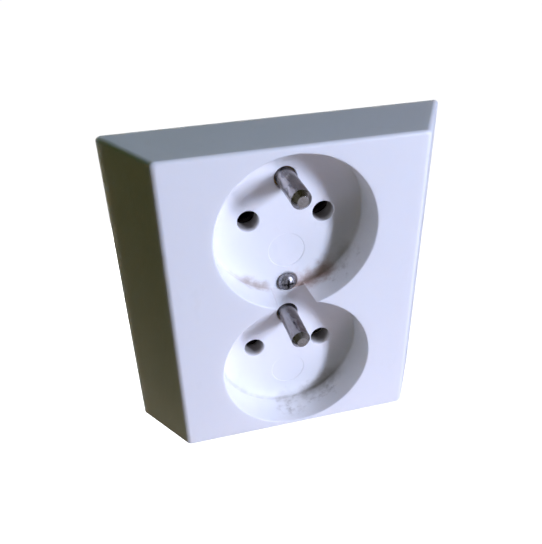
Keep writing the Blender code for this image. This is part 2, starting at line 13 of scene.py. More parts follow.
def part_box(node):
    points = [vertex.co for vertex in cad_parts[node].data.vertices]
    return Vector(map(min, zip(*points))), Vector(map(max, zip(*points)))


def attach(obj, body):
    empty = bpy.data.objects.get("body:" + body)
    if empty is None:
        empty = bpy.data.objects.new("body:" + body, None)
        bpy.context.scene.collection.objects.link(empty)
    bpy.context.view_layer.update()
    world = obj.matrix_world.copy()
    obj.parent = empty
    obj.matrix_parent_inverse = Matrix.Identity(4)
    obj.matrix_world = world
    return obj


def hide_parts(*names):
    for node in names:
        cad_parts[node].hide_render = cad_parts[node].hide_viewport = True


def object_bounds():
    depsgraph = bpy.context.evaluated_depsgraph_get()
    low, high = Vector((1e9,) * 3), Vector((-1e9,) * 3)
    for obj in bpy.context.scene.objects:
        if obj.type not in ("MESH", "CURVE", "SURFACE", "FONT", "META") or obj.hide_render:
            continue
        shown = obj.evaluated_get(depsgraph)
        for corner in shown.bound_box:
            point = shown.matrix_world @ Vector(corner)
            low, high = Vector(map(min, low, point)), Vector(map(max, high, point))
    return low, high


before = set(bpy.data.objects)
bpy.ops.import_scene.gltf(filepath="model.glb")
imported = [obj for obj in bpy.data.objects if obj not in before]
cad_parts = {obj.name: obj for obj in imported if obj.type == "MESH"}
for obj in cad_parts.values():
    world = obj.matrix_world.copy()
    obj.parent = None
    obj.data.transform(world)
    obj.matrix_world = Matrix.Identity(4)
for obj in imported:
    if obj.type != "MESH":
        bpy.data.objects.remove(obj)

CAD_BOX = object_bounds()
MM = 0.001

# Cover, beyond what its box gives
FRONT_HALF_WIDTH = 31.25 * MM
FRONT_TOP = 41.0 * MM
FRONT_BOTTOM = -40.4 * MM
EDGE_RADIUS = 1.2 * MM
RIM_RADIUS = 0.9 * MM
WALL = 2.2 * MM
SIDE_WALL = 2.54 * MM
RIB_THICKNESS = 1.2 * MM
RECESS_DEPTH = 10.0 * MM
RECESS_MOUTH_RADIUS = 19.87 * MM
RECESS_FLOOR_RADIUS = 19.75 * MM
CUP_WALL = 2.0 * MM
PIN_RISE = 10.55 * MM
CONTACT_HOLE_RADIUS = 2.75 * MM
CONTACT_TUBE_RADIUS = 3.9 * MM
CONTACT_TUBE_LENGTH = 3.0 * MM
PIN_HOLE_RADIUS = 2.85 * MM
SCREW_HOLE_RADIUS = 1.8 * MM
SPOT_FACE_RADIUS = 2.9 * MM
SPOT_FACE_DEPTH = 0.3 * MM
LIP_RADIUS = 0.3 * MM  # rounding of the recess rims
CORNER_RADIUS = 0.5 * MM  # fillet between recess wall and floor
HOLE_LIP = 0.18 * MM
PIN_HOLE_LIP = 0.2 * MM
SCREW_HOLE_LIP = 0.1 * MM
DISC_RADIUS = 4.7 * MM  # shallow round panel moulded into each recess floor
DISC_DROP = 8.85 * MM
DISC_DEPTH = 0.14 * MM
OVERRUN = 1.0 * MM

# Earth pins and screws
PIN_RADIUS = 2.4 * MM
PIN_TIP_RADIUS = 1.3 * MM
PIN_CHAMFER = 1.35 * MM
PIN_EDGE = 0.05 * MM
STRAP_THICKNESS = 1.2 * MM
GAP = 0.3 * MM
NECK_RADIUS = 1.4 * MM
NECK_HEAD_RADIUS = 2.3 * MM
NECK_HEAD_HEIGHT = 0.9 * MM
SCREW_HEAD_RADIUS = 2.45 * MM
SCREW_SHANK_RADIUS = 1.5 * MM
CROSS_HALF_LENGTH = 1.75 * MM  # at the cutter's wide end, in front of the head
CROSS_HALF_WIDTH = 0.42 * MM
CROSS_REACH = 1.4 * MM  # from the head's front to the cutter's narrow end
CROSS_TAPER = 0.55  # the narrow end's size over the wide end's
TERMINAL_HEAD_RADIUS = 3.2 * MM
TERMINAL_HEAD_HEIGHT = 2.0 * MM
TERMINAL_HEAD_EDGE = 0.35 * MM
TERMINAL_SHANK_RADIUS = 1.6 * MM
TERMINAL_SLOT_WIDTH = 0.9 * MM
TERMINAL_SLOT_DEPTH = 1.1 * MM
THREAD_PITCH = 0.5 * MM
THREAD_DEPTH = 0.28 * MM
THREAD_ROWS = 8  # to a pitch

# Meshes
ON_AXIS = 1e-7  # radius under which a profile point is a single vertex
SAME_PLACE = 0.002 * MM
SAME_PLANE = 1  # degrees
SMOOTH_UNDER = 30
ROUNDED_OVER = 32
EDGE_SEGMENTS = 10
RIM_SEGMENTS = 6
RECESS_SIDES = 192
PIN_SIDES = 64
HOLE_SIDES = 48
SCREW_SIDES = 48

# Rounded edges of the pieces that keep their CAD shape
EDGES = {
    "socket_base": 0.25 * MM,
    "mounting_frame": 0.2 * MM,
    "screw_bush": 0.15 * MM,
    "screw_retainer": 0.1 * MM,
    "bar": 0.15 * MM,
    "clamp": 0.15 * MM,
    "rivet": 0.1 * MM,
    "sleeve": 0.08 * MM,
}

# Each metal: its tone, its worn tone, the size of the worn patches and its roughness
METALS = {
    "brass": ((0.62, 0.43, 0.19), (0.44, 0.30, 0.14), 5 * MM, 0.3),
    "zinc_plate": ((0.56, 0.57, 0.58), (0.47, 0.47, 0.46), 7 * MM, 0.36),
    "screw_steel": ((0.46, 0.45, 0.47), (0.15, 0.145, 0.15), 0.6 * MM, 0.42),
    # The contact sleeves' bronze is nearly black: painted shade for the depth of the contact holes
    "bronze_painted_shade": ((0.04, 0.032, 0.026), (0.02, 0.016, 0.014), 2 * MM, 0.55),
}

# Tones of the other materials
# Dirt and painted shade down the contact holes
GRIME_AND_SHADE_SHARE = 0.75  # down the contact holes
PLASTIC = ((0.945, 0.945, 0.94), (0.97, 0.965, 0.955))
SMUDGE = (0.66, 0.64, 0.60)
GRIME_AND_SHADE = (0.20, 0.17, 0.14)
DULL_NICKEL = ((0.24, 0.22, 0.22), (0.36, 0.335, 0.335))
# Pin end discs painted lighter: a painted reflection
PIN_END_PAINTED_SHEEN = (0.42, 0.40, 0.405)
SCUFF = (0.16, 0.14, 0.12)
STEATITE = ((0.66, 0.61, 0.50), (0.74, 0.70, 0.60))
STEATITE_SPECK = (0.35, 0.28, 0.2)
FIBRE = ((0.28, 0.07, 0.04), (0.38, 0.12, 0.07))

# Dirt in the recesses: from and to, in degrees round the recess axis from +X towards +Z,
# how far the film reaches from the corner, the shares of film and of line, and the colour
BEIGE = (0.52, 0.44, 0.38)
RUSSET = (0.42, 0.24, 0.16)
DRAB = (0.27, 0.24, 0.19)
FILM_RAGGED = 1.46  # of its reach, how far the film's edge wanders
FILM_FULL = -0.083  # of its reach, where the film is at its full strength
FILMS = {
    "upper": (
        (-136, -110, 1.6 * MM, 0.2, 0.25, BEIGE),
        (-122, -111, 2.8 * MM, 0.85, 0.1, BEIGE),
        (-82, -56, 4.8 * MM, 0.72, 0.0, RUSSET),
        (-56, -34, 4.8 * MM, 0.24, 0.0, DRAB),
    ),
    "lower": (
        (-158, -95, 4.8 * MM, 0.03, 0.22, DRAB),
        (-95, -40, 4.8 * MM, 0.2, 0.1, DRAB),
        (-74, -48, 4.8 * MM, 0.35, 0.1, DRAB),
    ),
}
SPECKS = {"upper": (-64, -32), "lower": (-98, -54)}
SPECK_SHARE = 0.6
SECTOR_FADE = 10  # degrees

# The painted reflection strip on each pin, lighter down one side: middle and half width in degrees
# round the pin's axis, and its tone
REFLECTION_STRIP = {
    "upper": (146, 20, (0.56, 0.535, 0.535)),
    "lower": (128, 30, (0.38, 0.365, 0.37)),
}

# Where things are, from the CAD model
COVER_LOW, COVER_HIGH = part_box("cover")
FRONT_Y = COVER_LOW.y
FLOOR_Y = FRONT_Y + RECESS_DEPTH
FLOOR_BACK_Y = FLOOR_Y + CUP_WALL


def centre(node):
    low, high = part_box(node)
    return (low + high) / 2


RECESSES = {where: centre(f"earth_pin_{where}").z - PIN_RISE for where in ("upper", "lower")}
SCREW_Z = centre("cover_screw").z


# ---------------------------------------------------------------- mesh helpers


def object_from(bm, name):
    """An object in the scene with this mesh, its normals outwards."""
    mesh = bpy.data.meshes.new(name)
    bmesh.ops.recalc_face_normals(bm, faces=bm.faces)
    bm.to_mesh(mesh)
    bm.free()
    obj = bpy.data.objects.new(name, mesh)
    bpy.context.scene.collection.objects.link(obj)
    return obj


def arc(centre_r, centre_h, radius, start, end, steps=6):
    """Points on a circle in the profile plane, from one angle to another in degrees."""
    angles = [math.radians(start + (end - start) * i / steps) for i in range(steps + 1)]
    return [(centre_r + radius * math.cos(a), centre_h + radius * math.sin(a)) for a in angles]


def thread_rows(radius, start, end):
    """Profile points along a threaded shank, close enough together to show the thread."""
    rows = max(2, round(abs(end - start) / THREAD_PITCH * THREAD_ROWS))
    return [(radius, start + (end - start) * i / rows) for i in range(rows + 1)]


def turned(name, profile, x, y, z, sides=96, thread=None):
    """A closed solid of revolution round an axis along Y. Profile height runs to the front, from y.

    thread gives the lowest and highest height between which the radius follows a thread.
    """
    bm = bmesh.new()
    rings = []
    for radius, height in profile:
        if radius < ON_AXIS:
            rings.append([bm.verts.new((x, y - height, z))])
            continue
        ring = []
        for i in range(sides):
            angle = 2 * math.pi * i / sides
            r = radius
            if thread and thread[0] <= height <= thread[1]:
                turn = (height / THREAD_PITCH + i / sides) % 1.0
                r -= THREAD_DEPTH * abs(2 * turn - 1)
            ring.append(bm.verts.new((x + r * math.cos(angle), y - height, z + r * math.sin(angle))))
        rings.append(ring)
    for low, high in zip(rings, rings[1:]):
        for i in range(sides):
            j = (i + 1) % sides
            corners = [low[i % len(low)], low[j % len(low)], high[j % len(high)], high[i % len(high)]]
            unique = list(dict.fromkeys(corners))
            if len(unique) > 2:
                bm.faces.new(unique)
    return object_from(bm, name)


def block(name, low, high):
    """A block between two opposite corners."""
    bm = bmesh.new()
    bmesh.ops.create_cube(bm, size=1.0)
    for vert in bm.verts:
        vert.co = [high[i] if vert.co[i] > 0 else low[i] for i in range(3)]
    return object_from(bm, name)


def bevel(bm, edges, radius, segments):
    bmesh.ops.bevel(bm, geom=edges, offset=radius, segments=segments, profile=0.5, affect="EDGES")


def tapered_block(name, front, back, edge_radius=0.0, rim_radius=0.0):
    """A block between two rectangles, each given as half width, top, bottom and y."""
    bm = bmesh.new()
    bmesh.ops.create_cube(bm, size=2.0)
    for vert in bm.verts:
        half_width, top, bottom, y = front if vert.co.y < 0 else back
        vert.co = (math.copysign(half_width, vert.co.x), y, top if vert.co.z > 0 else bottom)
    if edge_radius:
        long_edges = [e for e in bm.edges if abs(e.verts[0].co.y - e.verts[1].co.y) > MM]
        bevel(bm, long_edges, edge_radius, EDGE_SEGMENTS)
    if rim_radius:
        rim = [e for e in bm.edges if all(v.co.y < front[3] + MM / 10 for v in e.verts)]
        bevel(bm, rim, rim_radius, RIM_SEGMENTS)
    return object_from(bm, name)


def cut(obj, tools):
    """Cuts one tool after another out of the object, and removes them."""
    for tool in tools:
        modifier = obj.modifiers.new("cut", "BOOLEAN")
        modifier.operation = "DIFFERENCE"
        modifier.solver = "EXACT"
        modifier.object = tool
        bake(obj)
        bpy.data.objects.remove(tool)
    return obj


def bake(obj):
    """Turns the object's modifiers into its mesh."""
    graph = bpy.context.evaluated_depsgraph_get()
    mesh = bpy.data.meshes.new_from_object(obj.evaluated_get(graph))
    obj.modifiers.clear()
    obj.data = mesh


def shade(obj):
    """Smooth, with sharper edges kept sharp and flat faces kept flat."""
    obj.data.shade_smooth()
    obj.data.set_sharp_from_angle(angle=math.radians(SMOOTH_UNDER))
    modifier = obj.modifiers.new("flat faces", "WEIGHTED_NORMAL")
    modifier.keep_sharp = True
    modifier.weight = 100


def stands_for(obj, node, body, material):
    """Shades the piece and lets it take a CAD node's place, body and finish."""
    shade(obj)
    coat(obj, material)
    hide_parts(node)
    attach(obj, body)


def soften(node, body, width, material):
    """Stands for a CAD node with the same solid, its edges rounded by width.

    Vertices in one place are joined first, and triangles in one plane become one face.
    """
    bm = bmesh.new()
    bm.from_mesh(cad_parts[node].data)
    bmesh.ops.remove_doubles(bm, verts=bm.verts, dist=SAME_PLACE)
    flat = math.radians(SAME_PLANE)
    bmesh.ops.dissolve_limit(bm, angle_limit=flat, verts=bm.verts, edges=bm.edges)
    obj = object_from(bm, f"{node}_finished")
    round_edges(obj, width)
    stands_for(obj, node, body, material)


def round_edges(obj, width):
    """Rounds the object's sharp edges in two steps."""
    modifier = obj.modifiers.new("edges", "BEVEL")
    modifier.width = width
    modifier.segments = 2
    modifier.limit_method = "ANGLE"
    modifier.angle_limit = math.radians(ROUNDED_OVER)
    modifier.miter_outer = "MITER_ARC"
    bake(obj)


# ---------------------------------------------------------------- material helpers


class Nodes:
    """A material's node tree, with short calls for the nodes used here."""

    def __init__(self, name):
        self.material = bpy.data.materials.new(name)
        self.material.use_nodes = True
        self.tree = self.material.node_tree
        self.shader = self.tree.nodes["Principled BSDF"]
        coords = self.tree.nodes.new("ShaderNodeTexCoord")
        self.place = coords.outputs["Object"]
        split = self.tree.nodes.new("ShaderNodeSeparateXYZ")
        self.tree.links.new(self.place, split.inputs[0])
        self.x, self.y, self.z = split.outputs

    def link(self, value, socket):
        if isinstance(value, bpy.types.NodeSocket):
            self.tree.links.new(value, socket)
        else:
            socket.default_value = value

    def math(self, operation, *values):
        node = self.tree.nodes.new("ShaderNodeMath")
        node.operation = operation
        for value, socket in zip(values, node.inputs):
            self.link(value, socket)
        return node.outputs[0]

    def ramp(self, value, low, high, out_low=0.0, out_high=1.0):
        """Smooth step of value between low and high."""
        node = self.tree.nodes.new("ShaderNodeMapRange")
        node.interpolation_type = "SMOOTHSTEP"
        for number, socket in zip((value, low, high, out_low, out_high), node.inputs):
            self.link(number, socket)
        return node.outputs[0]

    def noise(self, size, detail=3.0, roughness=0.5, stretch=(1, 1, 1), offset=0.0):
        """Noise whose features are about size metres across."""
        mapping = self.tree.nodes.new("ShaderNodeMapping")
        self.tree.links.new(self.place, mapping.inputs["Vector"])
        mapping.inputs["Location"].default_value = (offset, offset * 0.7, offset * 1.3)
        mapping.inputs["Scale"].default_value = [1 / (size * s) for s in stretch]
        node = self.tree.nodes.new("ShaderNodeTexNoise")
        self.tree.links.new(mapping.outputs[0], node.inputs["Vector"])
        node.inputs["Scale"].default_value = 1.0
        node.inputs["Detail"].default_value = detail
        node.inputs["Roughness"].default_value = roughness
        return node.outputs["Fac"]

    def mix(self, share, first, second):
        node = self.tree.nodes.new("ShaderNodeMix")
        node.data_type = "RGBA"
        self.link(share, node.inputs["Factor"])
        self.link(colour(first), node.inputs[6])
        self.link(colour(second), node.inputs[7])
        return node.outputs[2]

    def bump(self, height, distance, strength=1.0):
        node = self.tree.nodes.new("ShaderNodeBump")
        node.inputs["Strength"].default_value = strength
        node.inputs["Distance"].default_value = distance
        self.link(height, node.inputs["Height"])
        self.link(node.outputs[0], self.shader.inputs["Normal"])

    def set(self, **values):
        for name, value in values.items():
            self.link(colour(value), self.shader.inputs[name.replace("_", " ")])
        return self.material


def colour(value):
    return (*value, 1.0) if isinstance(value, tuple) and len(value) == 3 else value


# ---------------------------------------------------------------- materials


def product(n, *shares):
    """Several values multiplied."""
    total = shares[0]
    for share in shares[1:]:
        total = n.math("MULTIPLY", total, share)
    return total


def distance(n, dx, dz):
    """How far away a place is in the XZ plane."""
    return n.math("SQRT", n.math("ADD", n.math("MULTIPLY", dx, dx), n.math("MULTIPLY", dz, dz)))


def sector(n, angle, start, end):
    """1 between two angles in degrees, fading outside them."""
    fade = math.radians(SECTOR_FADE)
    rise = n.ramp(angle, math.radians(start) - fade, math.radians(start))
    fall = n.ramp(angle, math.radians(end) + fade, math.radians(end))
    return n.math("MULTIPLY", rise, fall)


def recess_dirt(n, tone, where, z):
    """Lays film and line in the corner between wall and floor, and specks on the wall, over a tone."""
    dz = n.math("SUBTRACT", n.z, z)
    radius = distance(n, n.x, dz)
    angle = n.math("ARCTAN2", dz, n.x)
    up_wall = n.math("SUBTRACT", FLOOR_Y, n.y)
    from_corner = n.math("ADD", n.math("SUBTRACT", RECESS_FLOOR_RADIUS, radius), up_wall)
    # 1 in the recess, and 0 past the skin of its wall and floor
    inside = product(
        n,
        n.ramp(radius, RECESS_FLOOR_RADIUS + 0.8 * MM, RECESS_FLOOR_RADIUS + 0.6 * MM),
        n.ramp(n.y, FLOOR_Y + 0.8 * MM, FLOOR_Y + 0.4 * MM),
    )
    cloud = n.noise(2.2 * MM, detail=4.0, roughness=0.6, offset=z * 90)
    unevenness = n.math("SUBTRACT", cloud, 0.5)
    # The line is a millimetre wide
    line = n.ramp(n.math("ADD", from_corner, n.math("MULTIPLY", unevenness, MM)), MM, 0.1 * MM)
    for start, end, reach, film_share, line_share, tint in FILMS[where]:
        edge = n.math("ADD", from_corner, n.math("MULTIPLY", unevenness, FILM_RAGGED * reach))
        film = n.ramp(edge, reach, FILM_FULL * reach)
        film = n.math("MULTIPLY", film, film_share)
        deposit = n.math("ADD", film, n.math("MULTIPLY", line, line_share))
        tone = n.mix(product(n, deposit, sector(n, angle, start, end), inside), tone, tint)
    # Specks only on the wall, and fewer towards its mouth
    on_wall = n.ramp(radius, RECESS_FLOOR_RADIUS - 0.4 * MM, RECESS_FLOOR_RADIUS - 0.2 * MM)
    low_wall = n.ramp(up_wall, 9.0 * MM, 6.0 * MM)
    spots = n.ramp(n.noise(3.2 * MM, detail=5.0, roughness=0.65, offset=z * 50), 0.5, 0.8)
    place = sector(n, angle, *SPECKS[where])
    return n.mix(product(n, spots, on_wall, low_wall, inside, place, SPECK_SHARE), tone, DRAB)


def hole_grime_and_shade(n):
    """1 down the contact holes, fading in over the first millimetres below the recess floor: dirt and
    painted shade.
    """
    side = n.math("SUBTRACT", n.math("ABSOLUTE", n.x), abs(contact_places()[0][0]))
    near = 1.0
    for where in RECESSES:
        height = centre(f"contact_sleeve_{where}_line").z
        near = n.math("MINIMUM", near, distance(n, side, n.math("SUBTRACT", n.z, height)))
    within = n.ramp(near, CONTACT_HOLE_RADIUS + 0.3 * MM, CONTACT_HOLE_RADIUS + 0.2 * MM)
    return n.math("MULTIPLY", within, n.ramp(n.y, FLOOR_Y, FLOOR_Y + 2.5 * MM))


def white_plastic():
    """Satin moulded plastic, faintly mottled and smudged, with dirt in its recesses, and dirt and
    painted shade down its holes.
    """
    n = Nodes("white_plastic")
    tone = n.mix(n.noise(14 * MM, detail=2.0), *PLASTIC)
    cloud = n.noise(9 * MM, detail=5.0, roughness=0.6, stretch=(0.6, 1, 1.6), offset=7.0)
    tone = n.mix(n.ramp(cloud, 0.58, 0.72, 0.0, 0.12), tone, SMUDGE)
    # Darker down the contact holes: dirt and painted shade
    tone = n.mix(n.math("MULTIPLY", hole_grime_and_shade(n), GRIME_AND_SHADE_SHARE), tone, GRIME_AND_SHADE)
    for where, z in RECESSES.items():
        tone = recess_dirt(n, tone, where, z)
    n.bump(n.noise(0.8 * MM, detail=4.0, roughness=0.6), 0.02 * MM, 0.5)
    rough = n.ramp(n.noise(5 * MM, detail=3.0), 0.3, 0.7, 0.32, 0.44)
    n.shader.inputs["Subsurface Radius"].default_value = (1.0, 0.95, 0.9)
    n.shader.inputs["Subsurface Scale"].default_value = 1.2 * MM
    return n.set(Base_Color=tone, Roughness=rough, IOR=1.45, Subsurface_Weight=0.8)


def metal(name, base, worn, size, roughness):
    """Metal with tarnish in patches and fine marks."""
    n = Nodes(name)
    patch = n.ramp(n.noise(size, detail=4.0, roughness=0.6), 0.35, 0.65)
    tone = n.mix(patch, base, worn)
    n.bump(n.noise(0.35 * MM, detail=4.0, roughness=0.6), 0.012 * MM, 0.6)
    rough = n.ramp(patch, 0.0, 1.0, roughness, roughness + 0.1)
    return n.set(Base_Color=tone, Roughness=rough, Metallic=1.0)


def worn_nickel_painted_sheen(where, z):
    """Dulled nickel plate with a painted reflection: a ragged brighter strip down one side of the pin,
    and a lighter end disc.

    z is the height of the pin's axis.
    """
    n = Nodes(f"worn_nickel_painted_sheen_{where}")
    middle, half, bright = REFLECTION_STRIP[where]
    # Painted reflection: a ragged brighter strip down one side of the pin
    angle = n.math("ARCTAN2", n.math("SUBTRACT", n.z, z), n.x)
    off = n.math("ABSOLUTE", n.math("SUBTRACT", angle, math.radians(middle)))
    cloud = n.noise(1.3 * MM, detail=5.0, roughness=0.65, stretch=(1, 2.5, 1), offset=z)
    ragged = n.math("MULTIPLY", n.math("SUBTRACT", cloud, 0.5), math.radians(150))
    off = n.math("ADD", off, ragged)
    reflection_strip = n.ramp(off, math.radians(half + 14), math.radians(half - 10))
    tip_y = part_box(f"earth_pin_{where}")[0].y
    # The end disc is painted lighter: a painted reflection
    end_disc = n.ramp(n.y, tip_y + 0.08 * MM, tip_y + 0.03 * MM)
    cloud = n.noise(2.5 * MM, detail=3.0, stretch=(1, 2, 1), offset=4.0)
    dull = n.mix(n.ramp(cloud, 0.35, 0.65), *DULL_NICKEL)
    tone = n.mix(end_disc, n.mix(reflection_strip, dull, bright), PIN_END_PAINTED_SHEEN)
    marks = n.noise(0.5 * MM, detail=3.0, roughness=0.6, stretch=(1, 9, 1), offset=5.0)
    tone = n.mix(n.math("MULTIPLY", n.ramp(marks, 0.45, 0.65), 0.25), tone, SCUFF)
    n.bump(n.noise(0.4 * MM, detail=3.0, stretch=(1, 5, 1)), 0.008 * MM, 0.6)
    rough = n.ramp(reflection_strip, 0.0, 1.0, 0.24, 0.36)
    return n.set(Base_Color=tone, Roughness=rough, Metallic=1.0)


def ceramic():
    """Unglazed cream steatite with fine specks and a grainy skin."""
    n = Nodes("steatite")
    tone = n.mix(n.noise(6 * MM, detail=3.0), *STEATITE)
    specks = n.ramp(n.noise(0.5 * MM, detail=2.0, offset=3.0), 0.66, 0.72)
    tone = n.mix(n.math("MULTIPLY", specks, 0.35), tone, STEATITE_SPECK)
    n.bump(n.noise(0.4 * MM, detail=5.0, roughness=0.65), 0.05 * MM, 0.5)
    return n.set(Base_Color=tone, Roughness=0.55, IOR=1.55)


def fibre():
    """Dark red washer board."""
    n = Nodes("vulcanised_fibre")
    tone = n.mix(n.noise(0.6 * MM, detail=4.0), *FIBRE)
    n.bump(n.noise(0.2 * MM, detail=4.0), 0.03 * MM, 0.6)
    return n.set(Base_Color=tone, Roughness=0.8)


def coat(obj, material):
    """Gives the object this one material."""
    obj.data.materials.clear()
    obj.data.materials.append(material)


# ---------------------------------------------------------------- cover


def half_width(y):
    """Half the cover's outside width at a depth y."""
    share = (y - FRONT_Y) / -FRONT_Y
    return FRONT_HALF_WIDTH + (COVER_HIGH.x - FRONT_HALF_WIDTH) * share


def rod_profile(radius, height):
    """Profile of a plain cylinder."""
    return [(0, 0), (radius, 0), (radius, height), (0, height)]


def hollow():
    """The space behind the skin, less the cups, the contact tubes and the rib."""
    front_y, back_y = FRONT_Y + WALL, OVERRUN
    space = tapered_block(
        "hollow",
        (half_width(front_y) - SIDE_WALL, FRONT_TOP - WALL, FRONT_BOTTOM + WALL, front_y),
        (half_width(back_y) - SIDE_WALL, COVER_HIGH.z - WALL, COVER_LOW.z + WALL, back_y),
    )
    stay = []
    for z in RECESSES.values():
        height = FLOOR_BACK_Y - FRONT_Y + OVERRUN
        profile = rod_profile(RECESS_FLOOR_RADIUS + CUP_WALL, height)
        stay.append(turned("cup", profile, 0, FLOOR_BACK_Y, z))
    for x, z in contact_places():
        profile = rod_profile(CONTACT_TUBE_RADIUS, CONTACT_TUBE_LENGTH + OVERRUN)
        end = FLOOR_BACK_Y + CONTACT_TUBE_LENGTH
        stay.append(turned("tube", profile, x, end, z, HOLE_SIDES))
    low = (-COVER_HIGH.x, FRONT_Y - OVERRUN, SCREW_Z - RIB_THICKNESS / 2)
    high = (COVER_HIGH.x, FLOOR_BACK_Y - RIB_THICKNESS, SCREW_Z + RIB_THICKNESS / 2)
    return cut(space, stay + [block("rib", low, high)])


def contact_places():
    """X and Z of the four contact holes."""
    nodes = [f"contact_sleeve_{w}_{p}" for w in ("upper", "lower") for p in ("line", "neutral")]
    return [(centre(node).x, centre(node).z) for node in nodes]


def hole(radius, lip, depth, x, z):
    """Cutter for a round hole through the recess floor, its rim rounded by lip."""
    rim = arc(radius + lip, -lip, lip, 180, 90)
    profile = [(0, -depth), (radius, -depth)] + rim + [(radius + lip, OVERRUN), (0, OVERRUN)]
    return turned("hole", profile, x, FLOOR_Y, z, HOLE_SIDES)


def recess(z):
    """Cutter for a recess, with a fillet at the floor and a rounded lip at the mouth."""
    floor_fillet = arc(RECESS_FLOOR_RADIUS - CORNER_RADIUS, CORNER_RADIUS, CORNER_RADIUS, -90, 0)
    lip = arc(RECESS_MOUTH_RADIUS + LIP_RADIUS, RECESS_DEPTH - LIP_RADIUS, LIP_RADIUS, 180, 90)
    top = RECESS_DEPTH + OVERRUN
    profile = [(0, 0)] + floor_fillet + lip + [(RECESS_MOUTH_RADIUS + LIP_RADIUS, top), (0, top)]
    return turned("recess", profile, 0, FLOOR_Y, z, RECESS_SIDES)


def panel(z):
    """Cutter for the shallow round panel below a recess's axis, its edge sloped."""
    slope = [(DISC_RADIUS - DISC_DEPTH / 2, -DISC_DEPTH), (DISC_RADIUS + DISC_DEPTH / 2, 0)]
    top = [(DISC_RADIUS + DISC_DEPTH / 2, OVERRUN), (0, OVERRUN)]
    return turned("panel", [(0, -DISC_DEPTH)] + slope + top, 0, FLOOR_Y, z - DISC_DROP)


def cover():
    """The tapered moulding with its hollow, recesses, holes and shallow panels cut."""
    body = tapered_block(
        "cover_moulding",
        (FRONT_HALF_WIDTH, FRONT_TOP, FRONT_BOTTOM, FRONT_Y),
        (COVER_HIGH.x, COVER_HIGH.z, COVER_LOW.z, 0.0),
        EDGE_RADIUS,
        RIM_RADIUS,
    )
    tools = [hollow()] + [recess(z) for z in RECESSES.values()]
    for z in RECESSES.values():
        tools.append(hole(PIN_HOLE_RADIUS, PIN_HOLE_LIP, CUP_WALL + OVERRUN, 0, z + PIN_RISE))
    for x, z in contact_places():
        depth = CUP_WALL + CONTACT_TUBE_LENGTH + OVERRUN
        tools.append(hole(CONTACT_HOLE_RADIUS, HOLE_LIP, depth, x, z))
    spot_floor = [(0, -SPOT_FACE_DEPTH), (SPOT_FACE_RADIUS, -SPOT_FACE_DEPTH)]
    spot = spot_floor + [(SPOT_FACE_RADIUS, OVERRUN), (0, OVERRUN)]
    tools.append(turned("spot", spot, 0, FLOOR_Y, SCREW_Z, HOLE_SIDES))
    tools.append(hole(SCREW_HOLE_RADIUS, SCREW_HOLE_LIP, CUP_WALL + OVERRUN, 0, SCREW_Z))
    tools += [panel(z) for z in RECESSES.values()]
    cut(body, tools)
    stands_for(body, "cover", "cover", white_plastic())


# ---------------------------------------------------------------- works


def earth_pin(where, material):
    """Pin with a chamfered tip, a neck through the earth strap and a riveted end behind it."""
    node = f"earth_pin_{where}"
    place = centre(node)
    tip = FLOOR_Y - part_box(node)[0].y
    strap_front = FLOOR_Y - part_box("earth_bar")[0].y
    strap_back = strap_front - STRAP_THICKNESS
    end = strap_back - GAP - NECK_HEAD_HEIGHT
    profile = [(0, tip)] + arc(PIN_TIP_RADIUS, tip - PIN_EDGE, PIN_EDGE, 90, 30, 3)
    shoulder = 2 * PIN_EDGE
    profile += arc(PIN_RADIUS - shoulder, tip - PIN_CHAMFER - PIN_EDGE, shoulder, 45, 0, 4)
    profile += [
        (PIN_RADIUS, strap_front + GAP),
        (NECK_RADIUS, strap_front + GAP),
        (NECK_RADIUS, strap_back - GAP),
        (NECK_HEAD_RADIUS, strap_back - GAP),
    ]
    profile += arc(NECK_HEAD_RADIUS - PIN_EDGE, end + PIN_EDGE, PIN_EDGE, 0, -90, 3)
    profile.append((0, end))
    pin = turned(f"{node}_finished", profile, place.x, FLOOR_Y, place.z, PIN_SIDES)
    stands_for(pin, node, "base", material)


def cover_screw(material):
    """Domed head with a tapering cross recess, on a threaded shank."""
    node = "cover_screw"
    low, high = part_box(node)
    place = centre(node)
    head = FLOOR_Y - low.y
    tip = FLOOR_Y - high.y
    dome = [
        (SCREW_HEAD_RADIUS * math.sin(math.radians(a)), head * math.cos(math.radians(a)))
        for a in range(0, 88, 6)
    ]
    shank = thread_rows(SCREW_SHANK_RADIUS, FLOOR_Y - FLOOR_BACK_Y - MM, tip + MM / 2)
    profile = dome + [(SCREW_HEAD_RADIUS, 0), (SCREW_SHANK_RADIUS, 0)] + shank + [(0, tip)]
    thread = (shank[-1][1], shank[0][1] - MM / 2)
    screw = turned(f"{node}_finished", profile, 0, FLOOR_Y, place.z, SCREW_SIDES, thread)
    tools = []
    for x, z in ((CROSS_HALF_LENGTH, CROSS_HALF_WIDTH), (CROSS_HALF_WIDTH, CROSS_HALF_LENGTH)):
        front = (x, place.z + z, place.z - z, low.y - MM)
        x, z = x * CROSS_TAPER, z * CROSS_TAPER
        back = (x, place.z + z, place.z - z, low.y + CROSS_REACH)
        tools.append(tapered_block("arm", front, back))
    cut(screw, tools)
    stands_for(screw, node, "cover_screw", material)


